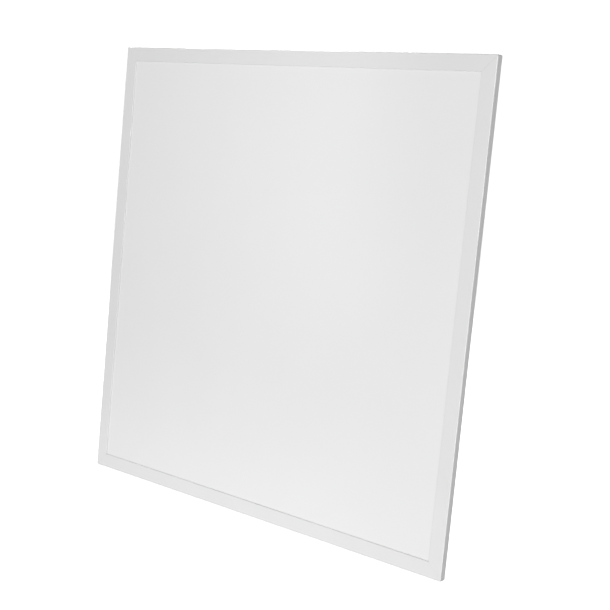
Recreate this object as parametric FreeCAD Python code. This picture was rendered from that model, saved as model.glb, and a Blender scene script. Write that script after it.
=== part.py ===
"""Edge-lit LED panel light, 595 mm square, with its driver compartment on the back.

Frame: millimetres, +Z up, +X to the right seen from the front. The light comes out towards -Y.
The origin is the middle of the back cover's outer face, so the rim lies from Y = -RIM_DEPTH to Y = 0
and everything mounted on the back stands on Y = 0.

Writes one STEP file per sub-part to parts/.
"""

import FreeCAD
import Part

import math
import os

V = FreeCAD.Vector
OUT = V(0, 1, 0)  # away from the back
RIGHT = V(1, 0, 0)

# ---------------------------------------------------------------- driving dimensions
# Rim
PANEL = 595.0  # outer width and height
RIM_DEPTH = 9.0  # front border face to back cover face
BORDER = 19.0  # white border seen from the front
CORNER_R = 2.0  # outer corners, seen from the front
FRONT_EDGE_R = 1.0  # rounding between the front face and the sides
WALL = 1.2  # thickness of the front lip and of the extrusion's other walls
TUBE_WIDTH = 10.0  # hollow outer part of the extrusion, behind the border
FLANGE_DEPTH = 8.5  # front face to the rear of the flange that the cover lies on
MITRE_GAP = 0.08  # hairline between two rails at a mitre
KEY_CLEAR = 0.2  # corner key to the walls of its hollow
KEY_LEG = 42.0  # panel edge to the end of each leg

# Back cover
COVER_THICK = 0.5
COVER_INSET = 1.5  # panel edge to cover edge
BEAD_HEIGHT = 0.8  # stiffening beads pressed outwards
BEAD_WIDTH = 9.0
RING_HALF = 225.0  # square ring bead, outside
RING_R = 20.0
BAR_X = 165.0  # upright bar beads
BAR_HALF = 150.0

# Optical stack, front to back
OPTIC_INSET = 12.1  # panel edge to the edge of the optical sheets
DIFFUSER_THICK = 1.2
GUIDE_THICK = 3.0
REFLECTOR_THICK = 0.3
FOAM_GAP = 0.3  # the foam's edge to the reflector's

# Light strips on the left and right rails
TAPE_THICK = 0.15
BOARD_THICK = 1.0
BOARD_WIDTH = 6.6
STRIP_CLEAR = 0.2  # strip to the front lip
STRIP_END_GAP = 0.3  # strip's end to the top and bottom rails
CHIP_PITCH = 10.4
CHIPS_PER_BOARD = 54
CHIP_STAND = 0.8
CHIP_DEPTH = 3.0
CHIP_LENGTH = 2.8

# Leads inside the panel
WIRE_R = 0.5
WIRE_Y = -2.0  # middle of a lead behind the reflector
WIRE_EDGE = 11.05  # panel edge to the middle of a lead in the rim gap
WIRE_BEND = 5.0  # through the grommet
WIRE_CORNER = 8.0  # from the foam's slot into the rim gap
LEAD_X = (99.0, 104.0)  # positive and negative lead
LEAD_Y = 9.6  # their height where they leave the driver
LEAD_START_Z = -7.0  # inside the output terminal

# Fasteners
SCREW_LINE = 5.0  # panel edge to the line of the cover's screws
CORNER_SCREW = 22.0  # panel corner to the nearest screw
MID_SCREWS = (-140.0, 0.0, 140.0)
SCREW_R = 1.45
SCREW_HEAD_R = 2.8
SCREW_HEAD_H = 1.6
TAP_R = 1.5  # hole that a screw cuts its thread in
CLEAR_R = 1.7  # hole that a screw passes through
INSERT_PITCH = 400.0  # square pattern of the four M4 inserts
INSERT_BORE_R = 1.7
INSERT_BODY_R = 3.0
INSERT_HEAD_R = 4.2
INSERT_DEPTH = 2.4
RIVET_X = 117.0
RIVET_Z = 34.0
RIVET_R = 1.6
RIVET_HOLE_R = 1.7

# Hanging loops
HANGER_X = 230.0  # middle of each bracket
HANGER_Y = 3.0  # pivot line
HANGER_Z = 262.0
HANGER_SCREWS = (-9.0, 9.0)  # from the middle of the bracket
FOOT_THICK = 1.2
FOOT_EDGE = 1.8  # panel edge to the bracket's foot
FOOT_TAIL = 6.0  # foot's other end beyond the pivot line
EAR_X = 14.0  # bracket's middle to the middle of an ear
EAR_THICK = 1.2
EAR_HEIGHT = 6.0
LOOP_WIRE_R = 1.2
LOOP_HALF = 10.0  # loop's middle to the middle of each leg
LOOP_REACH = 26.0  # pivot line to the middle of the far bend
LOOP_END = 2.6  # wire's end beyond the middle of the ear
PIVOT_CLEAR = 0.1

# Driver compartment
BOX_HALF_X = 125.0
BOX_HALF_Z = 48.0
BOX_DEPTH = 33.0
SHEET = 1.0
HINGE_Y = 32.1
HINGE_Z = 50.1
KNUCKLE_R = 2.1
PIN_R = 1.0
PIN_HALF = 113.0
LID_INNER_Y = 33.2
LID_GAP = 0.4  # end plates to the lid's skirts
SKIRT_DEPTH = 10.2
LID_EDGE_Z = BOX_HALF_Z - 0.2  # lid's upper edge, under the hinge
TRAY_KNUCKLES = ((-112.0, -70.0), (-21.0, 21.0), (70.0, 112.0))
LID_KNUCKLES = ((-69.7, -21.3), (21.3, 69.7))
END_FOOT = 14.0  # inward foot of each end plate
CABLE_Y = 13.0  # cable hole and knock-outs
CABLE_Z = 20.0
CABLE_HOLE_R = 8.0
BUSH_BORE_R = 4.5
BUSH_FLANGE_R = 9.0
GROMMET_AT = (101.5, -37.0)  # X and Z of the lead outlet
GROMMET_HOLE_R = 5.7
GROMMET_BORE_R = 4.6
EARTH_AT = (-102.0, 26.0)

# Driver
DRIVER_X = (-50.0, 108.0)
DRIVER_COVER_X = (-34.0, 92.0)
DRIVER_HALF_Z = 27.0
DRIVER_WALL = 1.5
DRIVER_END_Y = 8.0  # low end walls, where the terminals are open
DRIVER_SPLIT_Y = 14.0
DRIVER_TOP_Y = 27.5
DRIVER_SCREW_AT = (28.0, 31.5)
LUG_THICK = 2.0
PCB_Y = (5.0, 6.6)
PCB_INSET = 1.8  # driver's outside to the board's edge
TERMINAL_TOP = PCB_Y[1] + 11.0
BUTTON_X = -40.0
BUTTON_Z = (-16.25, -8.75, -1.25)
POLE_PITCH = BUTTON_Z[1] - BUTTON_Z[0]
BUTTON_STAND = 1.6
BUTTON_LENGTH = 5.0
SWITCH_AT = (-41.5, 13.0)  # colour switch, X and Z
SWITCH_TOP = PCB_Y[1] + 4.2
SWITCH_SLOT = (8.4, 2.8)

# Worked out from the above
HALF = PANEL / 2
COVER_HALF = HALF - COVER_INSET
COVER_INNER_Y = -COVER_THICK
OPTIC_HALF = HALF - OPTIC_INSET
FOAM_HALF = OPTIC_HALF - FOAM_GAP
TUBE_INNER = HALF - TUBE_WIDTH
DIFFUSER_Y = -RIM_DEPTH + WALL
GUIDE_Y = DIFFUSER_Y + DIFFUSER_THICK
REFLECTOR_Y = GUIDE_Y + GUIDE_THICK
FOAM_Y = REFLECTOR_Y + REFLECTOR_THICK
SCREW_EDGE = HALF - SCREW_LINE
SCREW_CORNER = HALF - CORNER_SCREW
SIDE_SCREWS = (-SCREW_CORNER, *MID_SCREWS, SCREW_CORNER)
LID_OUTER_Y = LID_INNER_Y + SHEET


# ---------------------------------------------------------------- small shapes
def box(x, y, z):
    """Box from three (low, high) pairs."""
    return Part.makeBox(x[1] - x[0], y[1] - y[0], z[1] - z[0], V(x[0], y[0], z[0]))


def centred(x, z, width, height, y):
    """Box centred on x and z, from y[0] to y[1]."""
    return box((x - width / 2, x + width / 2), y, (z - height / 2, z + height / 2))


def disc(x, z, radius, y):
    """Cylinder along Y at x and z, from y[0] to y[1]."""
    return Part.makeCylinder(radius, y[1] - y[0], V(x, y[0], z), OUT)


def rod(x, y, z, radius):
    """Cylinder along X from x[0] to x[1]."""
    return Part.makeCylinder(radius, x[1] - x[0], V(x[0], y, z), RIGHT)


def span(sign, near, far):
    """Low and high end of a stretch on the positive or negative side."""
    return tuple(sorted((sign * near, sign * far)))


def four(x, z):
    """The four mirror positions of a point."""
    return [(sx * x, sz * z) for sx in (-1, 1) for sz in (-1, 1)]


def driver_screw_spots():
    """Centres of the driver's two screws."""
    return [(DRIVER_SCREW_AT[0], s * DRIVER_SCREW_AT[1]) for s in (-1, 1)]


def on_y(y):
    """Places outline points (x, z) in a plane that faces Y."""
    return lambda x, z: V(x, y, z)


def on_x(x):
    """Places outline points (z, y) in a plane that faces X."""
    return lambda z, y: V(x, y, z)


def arc_at(point, before, after, radius):
    """Start, crown and end of the arc of a given radius that rounds the corner at point."""
    back = before - point
    ahead = after - point
    back.normalize()
    ahead.normalize()
    half_angle = back.getAngle(ahead) / 2
    reach = radius / math.tan(half_angle)
    middle = back + ahead
    middle.normalize()
    crown = point + middle * (radius / math.sin(half_angle) - radius)
    return point + back * reach, crown, point + ahead * reach


def prism(corners, place, along):
    """Solid made by pushing an outline of (a, b, radius) corners along a vector."""
    points = [place(a, b) for a, b, _ in corners]
    edges = []
    ends = []
    for i, (_, _, radius) in enumerate(corners):
        if radius == 0:
            ends.append((points[i], points[i]))
            continue
        start, crown, end = arc_at(points[i], points[i - 1], points[(i + 1) % len(points)], radius)
        edges.append(Part.Arc(start, crown, end).toShape())
        ends.append((start, end))
    for i, (_, end) in enumerate(ends):
        following = ends[(i + 1) % len(ends)][0]
        if (following - end).Length > 1e-6:
            edges.append(Part.LineSegment(end, following).toShape())
    outline = Part.Wire(Part.__sortEdges__(edges))
    return Part.Face(outline).extrude(along)


def plate(half_x, half_z, radius, y, x=0.0, z=0.0):
    """Flat plate with rounded corners, from y[0] to y[1]."""
    signs = ((-1, -1), (1, -1), (1, 1), (-1, 1))
    corners = [(x + sx * half_x, z + sz * half_z, radius) for sx, sz in signs]
    return prism(corners, on_y(y[0]), OUT * (y[1] - y[0]))


def tube(points, bends, radius):
    """Round wire along straight runs joined by tangent arcs. bends holds one radius per inner point."""
    edges = []
    start = points[0]
    for i, bend in enumerate(bends, start=1):
        arc_start, crown, arc_end = arc_at(points[i], points[i - 1], points[i + 1], bend)
        edges.append(Part.LineSegment(start, arc_start).toShape())
        edges.append(Part.Arc(arc_start, crown, arc_end).toShape())
        start = arc_end
    edges.append(Part.LineSegment(start, points[-1]).toShape())
    section = Part.Wire([Part.makeCircle(radius, points[0], points[1] - points[0])])
    return Part.Wire(edges).makePipeShell([section], True, False)


def revolved(profile, place, centre, axis):
    """Ring made by turning a closed (radius, distance) profile about an axis."""
    points = [place(r, d) for r, d in profile]
    face = Part.Face(Part.makePolygon(points + points[:1]))
    return face.revolve(centre, axis, 360)


def fuse(shapes):
    """One solid from several touching shapes, without seams between coplanar faces."""
    return shapes[0].multiFuse(shapes[1:]).removeSplitter()


def top_edges(shape, y, longer_than=0.0):
    """Edges of a shape that lie in the plane Y = y."""
    return [e for e in shape.Edges if abs(e.BoundBox.YMin - y) < 1e-6 and e.Length > longer_than]


def turned(shape, quarter_turns):
    """Copy of a bottom-side shape turned about Y to another side, a quarter turn at a time."""
    copy = shape.copy()
    copy.rotate(V(0, 0, 0), OUT, 90.0 * quarter_turns)
    return copy


def pan_screw(x, z, head_y, length):
    """Pan-head cross-recess screw that points into the panel, its head standing on Y = head_y."""
    top_y = head_y + SCREW_HEAD_H
    head = disc(x, z, SCREW_HEAD_R, (head_y, top_y))
    head = head.makeFillet(SCREW_HEAD_H / 2, top_edges(head, top_y, SCREW_HEAD_R))
    shank = disc(x, z, SCREW_R, (head_y - length, head_y))
    recess_y = (head_y + 0.4 * SCREW_HEAD_H, top_y + 1)
    long = 1.1 * SCREW_HEAD_R
    wide = 0.25 * SCREW_HEAD_R
    return fuse([head, shank]).cut([centred(x, z, long, wide, recess_y), centred(x, z, wide, long, recess_y)])


# ---------------------------------------------------------------- rim
def envelope():
    """Outside of the whole rim: a square slab with rounded corners and a rounded front edge."""
    slab = plate(HALF, HALF, CORNER_R, (-RIM_DEPTH, 0))
    front = [e for e in slab.Edges if abs(e.BoundBox.YMax + RIM_DEPTH) < 1e-6]
    return slab.makeFillet(FRONT_EDGE_R, front)


def rail(screw_xs):
    """Mitred bottom rail: a hollow extrusion with the front lip, a rear flange and a wall round the cover."""
    section = [
        (0, 0, 0),
        (BORDER, 0, 0.35),
        (BORDER, WALL, 0),
        (TUBE_WIDTH, WALL, 0),
        (TUBE_WIDTH, FLANGE_DEPTH, 0.3),
        (WALL, FLANGE_DEPTH, 0),
        (WALL, RIM_DEPTH, 0.3),
        (0, RIM_DEPTH, 0.4),
    ]
    near = WALL
    far_u = TUBE_WIDTH - WALL
    far_v = FLANGE_DEPTH - WALL
    hollow = [(near, near, 0.4), (far_u, near, 0.4), (far_u, far_v, 0.4), (near, far_v, 0.4)]
    outer_edge = -HALF
    place = lambda u, v: V(outer_edge, v - RIM_DEPTH, u + outer_edge)
    bar = prism(section, place, RIGHT * PANEL)
    core = prism(hollow, place, RIGHT * PANEL)
    ease = MITRE_GAP / math.sqrt(2)
    wedge_outline = [
        (-HALF + ease, -HALF, 0),
        (HALF - ease, -HALF, 0),
        (HALF - BORDER - ease, -HALF + BORDER, 0),
        (-HALF + BORDER + ease, -HALF + BORDER, 0),
    ]
    wedge = prism(wedge_outline, on_y(-RIM_DEPTH), OUT * RIM_DEPTH)
    flange_y = (-RIM_DEPTH + far_v - 0.1, 0)
    holes = [disc(x, -SCREW_EDGE, TAP_R, flange_y) for x in screw_xs]
    return bar.common(wedge).common(envelope()).cut([core] + holes)


def make_rails():
    hanger_xs = tuple(s * HANGER_X + d for s in (-1, 1) for d in HANGER_SCREWS)
    level = rail(SIDE_SCREWS + hanger_xs)
    upright = rail(SIDE_SCREWS)
    return {
        "frame_rail_bottom": level,
        "frame_rail_left": turned(upright, 1),
        "frame_rail_top": turned(level, 2),
        "frame_rail_right": turned(upright, 3),
    }


def make_corner_keys():
    """Steel angle in the hollow of both rails at each corner."""
    near = WALL + KEY_CLEAR
    far = TUBE_WIDTH - near
    depth = FLANGE_DEPTH - 2 * near
    outline = [
        (near, near, 1.0),
        (KEY_LEG, near, 0.5),
        (KEY_LEG, far, 0.5),
        (far, far, 0),
        (far, KEY_LEG, 0.5),
        (near, KEY_LEG, 0.5),
    ]
    place = lambda a, b: V(a - HALF, -RIM_DEPTH + near, b - HALF)
    key = prism(outline, place, OUT * depth)
    spots = [(-SCREW_CORNER, -SCREW_EDGE), (-SCREW_EDGE, -SCREW_CORNER)]
    key = key.cut([disc(x, z, TAP_R, (-RIM_DEPTH, 0)) for x, z in spots])
    corners = ("bottom_left", "top_left", "top_right", "bottom_right")
    return {f"corner_key_{corner}": turned(key, i) for i, corner in enumerate(corners)}


# ---------------------------------------------------------------- light engine
def sheet(y, thick, half=OPTIC_HALF):
    return plate(half, half, 0.6, (y, y + thick))


def foam_backing():
    """Foam that fills the space behind the reflector, cut out for the leads and fasteners."""
    through = (FOAM_Y - 1, 0)
    pad = sheet(FOAM_Y, COVER_INNER_Y - FOAM_Y, FOAM_HALF)
    slot_side = 2.5
    mouth_side = 10.0
    mouth_top = -HALF + WIRE_EDGE + WIRE_CORNER + 4.0
    slot = box((LEAD_X[0] - slot_side, LEAD_X[1] + slot_side), through, (-HALF, GROMMET_AT[1]))
    mouth = box((LEAD_X[0] - mouth_side, LEAD_X[1] + mouth_side), through, (-HALF, mouth_top))
    tools = [slot, mouth, disc(*GROMMET_AT, 9.0, through)]
    tools += [disc(x, z, INSERT_HEAD_R + 0.3, through) for x, z in four(INSERT_PITCH / 2, INSERT_PITCH / 2)]
    tools += [disc(x, z, 3.5, through) for x, z in four(RIVET_X, RIVET_Z)]
    tools += [disc(x, z, 3.0, through) for x, z in driver_screw_spots()]
    return pad.cut(tools)


def make_optics():
    return {
        "diffuser_plate": sheet(DIFFUSER_Y, DIFFUSER_THICK),
        "light_guide_plate": sheet(GUIDE_Y, GUIDE_THICK),
        "reflector_sheet": sheet(REFLECTOR_Y, REFLECTOR_THICK),
        "foam_backing": foam_backing(),
    }


def make_light_strips():
    """Adhesive tape, board and LED packages along the left and right rails."""
    made = {}
    end = TUBE_INNER - STRIP_END_GAP
    board_back = TUBE_INNER - TAPE_THICK
    board_face = board_back - BOARD_THICK
    strip_y = (DIFFUSER_Y + STRIP_CLEAR, DIFFUSER_Y + STRIP_CLEAR + BOARD_WIDTH)
    guide_mid = GUIDE_Y + GUIDE_THICK / 2
    chip_y = (guide_mid - CHIP_DEPTH / 2, guide_mid + CHIP_DEPTH / 2)
    first = -CHIP_PITCH * (CHIPS_PER_BOARD - 1) / 2
    for side, sign in (("left", -1), ("right", 1)):
        made[f"thermal_tape_{side}"] = box(span(sign, board_back, TUBE_INNER), strip_y, (-end, end))
        made[f"led_board_{side}"] = box(span(sign, board_face, board_back), strip_y, (-end, end))
        chips = []
        for i in range(CHIPS_PER_BOARD):
            z = first + i * CHIP_PITCH
            chip_x = span(sign, board_face - CHIP_STAND, board_face)
            chips.append(box(chip_x, chip_y, (z - CHIP_LENGTH / 2, z + CHIP_LENGTH / 2)))
        made[f"led_chips_{side}"] = Part.makeCompound(chips)
    return made


def edge_spacers():
    """Foam blocks that centre the light guide between the top and bottom rails."""
    clear = 0.05
    block_half = 12.0
    depth = (GUIDE_Y + 2 * clear, REFLECTOR_Y - 2 * clear)
    blocks = []
    for x in (-180.0, 0.0, 180.0):
        for sign in (-1, 1):
            gap = span(sign, OPTIC_HALF + clear, TUBE_INNER - clear)
            blocks.append(box((x - block_half, x + block_half), depth, gap))
    return Part.makeCompound(blocks)


def make_leads():
    """Leads from the driver's output to the LED boards, and the link between the boards' upper ends."""
    board_face = TUBE_INNER - TAPE_THICK - BOARD_THICK
    rim_gap = HALF - WIRE_EDGE
    grommet_z = GROMMET_AT[1]
    made = {}
    for name, x, side in (("lead_positive", LEAD_X[0], -1), ("lead_negative", LEAD_X[1], 1)):
        route = [
            V(x, LEAD_Y, LEAD_START_Z),
            V(x, LEAD_Y, grommet_z),
            V(x, WIRE_Y, grommet_z),
            V(x, WIRE_Y, -rim_gap),
            V(side * board_face, WIRE_Y, -rim_gap),
        ]
        made[name] = tube(route, (WIRE_BEND, WIRE_BEND, WIRE_CORNER), WIRE_R)
    made["lead_link"] = rod((-board_face, board_face), WIRE_Y, rim_gap, WIRE_R)
    return made


# ---------------------------------------------------------------- back cover
def ring_bead(rise, grow):
    """Square ring bead, made larger by grow all round."""
    y = (COVER_INNER_Y, rise)
    outer = plate(RING_HALF + grow, RING_HALF + grow, RING_R + grow, y)
    inset = BEAD_WIDTH + grow
    inner = plate(RING_HALF - inset, RING_HALF - inset, RING_R - inset, (COVER_INNER_Y - 1, rise + 1))
    return outer.cut(inner)


def bar_bead(x, rise, grow):
    """Upright bead with round ends, made larger by grow all round."""
    half_width = BEAD_WIDTH / 2 + grow
    return plate(half_width, BAR_HALF + grow, half_width - 0.01, (COVER_INNER_Y, rise), x=x)


def beads(rise, grow):
    """Every stiffening bead of the back cover."""
    return [ring_bead(rise, grow)] + [bar_bead(x, rise, grow) for x in (-BAR_X, BAR_X)]


def cover_hole_spots():
    """Centres of every screw hole in the back cover."""
    spots = [(a, s * SCREW_EDGE) for a in SIDE_SCREWS for s in (-1, 1)]
    spots += [(s * SCREW_EDGE, a) for a in SIDE_SCREWS for s in (-1, 1)]
    spots += [(x + d, z) for x, z in four(HANGER_X, SCREW_EDGE) for d in HANGER_SCREWS]
    return spots + driver_screw_spots()


def back_cover():
    """Pressed sheet with its beads and every hole."""
    flat = plate(COVER_HALF, COVER_HALF, 1.5, (COVER_INNER_Y, 0))
    outer = [bead.makeFillet(0.6, top_edges(bead, BEAD_HEIGHT)) for bead in beads(BEAD_HEIGHT, 0.0)]
    inner = beads(BEAD_HEIGHT - COVER_THICK, -COVER_THICK)
    through = (-2, 2)
    insert_at = INSERT_PITCH / 2
    holes = [disc(x, z, CLEAR_R, through) for x, z in cover_hole_spots()]
    holes += [disc(x, z, RIVET_HOLE_R, through) for x, z in four(RIVET_X, RIVET_Z)]
    holes += [disc(x, z, INSERT_BODY_R + 0.02, through) for x, z in four(insert_at, insert_at)]
    holes.append(disc(*GROMMET_AT, GROMMET_HOLE_R, through))
    return fuse([flat] + outer).cut(inner + holes)


def cover_screws():
    """Screws along the sides, in the rails' rear flanges."""
    spots = [(a, s * SCREW_EDGE) for a in MID_SCREWS for s in (-1, 1)]
    spots += [(s * SCREW_EDGE, a) for a in MID_SCREWS for s in (-1, 1)]
    return Part.makeCompound([pan_screw(x, z, 0.0, 4.0) for x, z in spots])


def corner_screws():
    """Longer screws that also pull the corner keys against the flanges."""
    spots = four(SCREW_CORNER, SCREW_EDGE) + four(SCREW_EDGE, SCREW_CORNER)
    return Part.makeCompound([pan_screw(x, z, 0.0, 6.0) for x, z in spots])


def clinch_nuts():
    """M4 inserts pressed into the cover, flush with its outer face."""
    nuts = []
    for x, z in four(INSERT_PITCH / 2, INSERT_PITCH / 2):
        body = disc(x, z, INSERT_BODY_R, (COVER_INNER_Y, 0))
        head = disc(x, z, INSERT_HEAD_R, (-INSERT_DEPTH, COVER_INNER_Y))
        nuts.append(fuse([body, head]).cut(disc(x, z, INSERT_BORE_R, (-5, 5))))
    return Part.makeCompound(nuts)


# ---------------------------------------------------------------- hanging loops
def hanger_bracket(side):
    """Pressed bracket at the left or right of the top edge: a foot screwed to the rail and two pivot ears."""
    x = side * HANGER_X
    half_width = EAR_X + EAR_THICK / 2
    foot_low = HANGER_Z - FOOT_TAIL
    foot_high = HALF - FOOT_EDGE
    foot_half = (foot_high - foot_low) / 2
    parts = [plate(half_width, foot_half, 1.0, (0, FOOT_THICK), x=x, z=foot_low + foot_half)]
    base_half = 4.5
    tip_half = 3.2
    ear = [
        (HANGER_Z - base_half, 0, 0),
        (HANGER_Z + base_half, 0, 0),
        (HANGER_Z + tip_half, EAR_HEIGHT, 2.4),
        (HANGER_Z - tip_half, EAR_HEIGHT, 2.4),
    ]
    for s in (-1, 1):
        parts.append(prism(ear, on_x(x + s * EAR_X - EAR_THICK / 2), RIGHT * EAR_THICK))
    holes = [disc(x + d, SCREW_EDGE, CLEAR_R, (-1, FOOT_THICK + 1)) for d in HANGER_SCREWS]
    holes.append(rod((x - half_width - 1, x + half_width + 1), HANGER_Y, HANGER_Z, LOOP_WIRE_R + PIVOT_CLEAR))
    return fuse(parts).cut(holes)


def hanger_loop(x, pivot_z):
    """Round-wire loop hanging from its pivot line, its two ends turned out through the ears."""
    end = EAR_X + LOOP_END
    far = pivot_z - LOOP_REACH
    route = [
        V(x - end, HANGER_Y, pivot_z),
        V(x - LOOP_HALF, HANGER_Y, pivot_z),
        V(x - LOOP_HALF, HANGER_Y, far),
        V(x + LOOP_HALF, HANGER_Y, far),
        V(x + LOOP_HALF, HANGER_Y, pivot_z),
        V(x + end, HANGER_Y, pivot_z),
    ]
    return tube(route, (2.0, 7.0, 7.0, 2.0), LOOP_WIRE_R)


def make_hangers():
    made = {}
    screws = []
    for height, v_sign in (("top", 1), ("bottom", -1)):
        for side, h_sign in (("left", -1), ("right", 1)):
            bracket = hanger_bracket(h_sign)
            if v_sign < 0:
                bracket = bracket.mirror(V(0, 0, 0), V(0, 0, 1))
            x = h_sign * HANGER_X
            made[f"hanger_bracket_{height}_{side}"] = bracket
            made[f"hanger_loop_{height}_{side}"] = hanger_loop(x, v_sign * HANGER_Z)
            screws += [pan_screw(x + d, v_sign * SCREW_EDGE, FOOT_THICK, 5.0) for d in HANGER_SCREWS]
    made["hanger_screws"] = Part.makeCompound(screws)
    return made


# ---------------------------------------------------------------- driver compartment
def gear_tray():
    """Folded channel: a base on the cover, two long walls and the fixed half of the hinge."""
    end = BOX_HALF_X - SHEET
    inner = BOX_HALF_Z - SHEET
    hinge_wall_y = BOX_DEPTH - 2
    section = [
        (-BOX_HALF_Z, BOX_DEPTH, 0),
        (-BOX_HALF_Z, 0, 1.5),
        (BOX_HALF_Z, 0, 1.5),
        (BOX_HALF_Z, hinge_wall_y, 0),
        (inner, hinge_wall_y, 0),
        (inner, SHEET, 0.5),
        (-inner, SHEET, 0.5),
        (-inner, BOX_DEPTH, 0),
    ]
    parts = [prism(section, on_x(-end), RIGHT * (2 * end))]
    for x in TRAY_KNUCKLES:
        parts.append(rod(x, HINGE_Y, HINGE_Z, KNUCKLE_R))
        parts.append(box(x, (HINGE_Y - KNUCKLE_R, HINGE_Y), (inner, HINGE_Z)))
    base = (-1, SHEET + 1)
    tools = [rod((-end, end), HINGE_Y, HINGE_Z, PIN_R + 0.02)]
    tools += [disc(x, z, RIVET_HOLE_R, base) for x, z in four(RIVET_X, RIVET_Z)]
    tools += [disc(x, z, TAP_R, base) for x, z in driver_screw_spots()]
    tools.append(disc(*GROMMET_AT, GROMMET_HOLE_R, base))
    return fuse(parts).cut(tools)


def knockout_groove(side, z):
    """Ring groove in the outer face of an end plate, round the blank of a cable hole."""
    deep = 0.3 * SHEET
    x = span(side, BOX_HALF_X - deep, BOX_HALF_X + 1)
    ring = rod(x, CABLE_Y, z, CABLE_HOLE_R)
    return ring.cut(rod(x, CABLE_Y, z, CABLE_HOLE_R - 0.35))


def gear_end_plate(side):
    """End wall with an inward foot. The left one has an open cable hole, and both have knock-outs."""
    inner = BOX_HALF_X - SHEET
    wall_x = span(side, inner, BOX_HALF_X)
    hinge_relief = 4.0
    outline = [
        (-BOX_HALF_Z, 0, 1.5),
        (BOX_HALF_Z, 0, 1.5),
        (BOX_HALF_Z, BOX_DEPTH - hinge_relief, 1.0),
        (BOX_HALF_Z - hinge_relief, BOX_DEPTH, 1.0),
        (-BOX_HALF_Z, BOX_DEPTH, 1.0),
    ]
    wall = prism(outline, on_x(wall_x[0]), RIGHT * SHEET)
    foot = box(span(side, inner - END_FOOT, inner), (SHEET, 2 * SHEET), (-RIVET_Z - 6, RIVET_Z + 6))
    tools = [disc(side * RIVET_X, s * RIVET_Z, RIVET_HOLE_R, (0, 4)) for s in (-1, 1)]
    tools.append(knockout_groove(side, CABLE_Z))
    if side < 0:
        tools.append(rod((wall_x[0] - 1, wall_x[1] + 1), CABLE_Y, -CABLE_Z, CABLE_HOLE_R))
    else:
        tools.append(knockout_groove(side, -CABLE_Z))
    return fuse([wall, foot]).cut(tools)


def gear_lid():
    """Hinged cover with skirts on three sides, a finger tab and the moving half of the hinge."""
    skirt_x = BOX_HALF_X + LID_GAP
    skirt_z = BOX_HALF_Z + LID_GAP
    full_x = skirt_x + SHEET
    full_z = skirt_z + SHEET
    low_y = LID_INNER_Y - SKIRT_DEPTH
    outline = [
        (-full_x, -full_z, 1.5),
        (full_x, -full_z, 1.5),
        (full_x, LID_EDGE_Z, 0),
        (-full_x, LID_EDGE_Z, 0),
    ]
    shell = prism(outline, on_y(low_y), OUT * (LID_OUTER_Y - low_y))
    rim = [e for e in top_edges(shell, LID_OUTER_Y) if e.BoundBox.ZMin < LID_EDGE_Z - 1]
    shell = shell.makeFillet(0.8, rim)
    inside = box((-skirt_x, skirt_x), (low_y - 1, LID_INNER_Y), (-skirt_z, LID_EDGE_Z + 1))
    tab_half = 14.0
    tab_out = 5.0
    tab = box((-tab_half, tab_half), (low_y, low_y + SHEET), (-full_z - tab_out, -full_z + SHEET / 2))
    parts = [shell.cut(inside), tab]
    for x in LID_KNUCKLES:
        parts.append(rod(x, HINGE_Y, HINGE_Z, KNUCKLE_R))
        parts.append(box(x, (LID_INNER_Y, LID_OUTER_Y), (LID_EDGE_Z - 2, HINGE_Z)))
    return fuse(parts).cut(rod((-BOX_HALF_X, BOX_HALF_X), HINGE_Y, HINGE_Z, PIN_R + 0.06))


def gear_rivets():
    """Blind rivets that hold the end plates and the tray to the back cover."""
    grip_y = 2 * SHEET
    head_y = grip_y + 1.1
    tail_y = -2.4
    made = []
    for x, z in four(RIVET_X, RIVET_Z):
        head = disc(x, z, 2 * RIVET_R, (grip_y, head_y))
        head = head.makeFillet(0.8, top_edges(head, head_y, RIVET_R))
        body = disc(x, z, RIVET_R, (tail_y, grip_y))
        tail = disc(x, z, 1.5 * RIVET_R, (tail_y, COVER_INNER_Y))
        made.append(fuse([head, body, tail]).cut(disc(x, z, RIVET_R / 2, (SHEET, head_y + 1))))
    return Part.makeCompound(made)


def mains_bush():
    """Rubber bush that lines the open cable hole."""
    outer = -BOX_HALF_X
    inner = outer + SHEET
    neck = CABLE_HOLE_R - 0.05
    profile = [
        (BUSH_BORE_R, outer - 1.5),
        (neck + 0.4, outer - 1.5),
        (BUSH_FLANGE_R, outer - 0.8),
        (BUSH_FLANGE_R, outer),
        (neck, outer),
        (neck, inner),
        (BUSH_FLANGE_R, inner),
        (BUSH_FLANGE_R - 0.6, inner + 1.8),
        (BUSH_BORE_R, inner + 1.8),
    ]
    place = lambda r, d: V(d, CABLE_Y + r, -CABLE_Z)
    return revolved(profile, place, V(0, CABLE_Y, -CABLE_Z), RIGHT)


def wire_grommet():
    """Rubber grommet that leads the panel's wires through the cover and the tray."""
    x, z = GROMMET_AT
    neck = GROMMET_HOLE_R - 0.05
    profile = [
        (GROMMET_BORE_R, COVER_INNER_Y - 0.8),
        (7.0, COVER_INNER_Y - 0.8),
        (7.6, COVER_INNER_Y),
        (neck, COVER_INNER_Y),
        (neck, SHEET),
        (8.0, SHEET),
        (7.2, SHEET + 1.5),
        (GROMMET_BORE_R, SHEET + 1.5),
    ]
    return revolved(profile, lambda r, d: V(x + r, d, z), V(x, 0, z), OUT)


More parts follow.
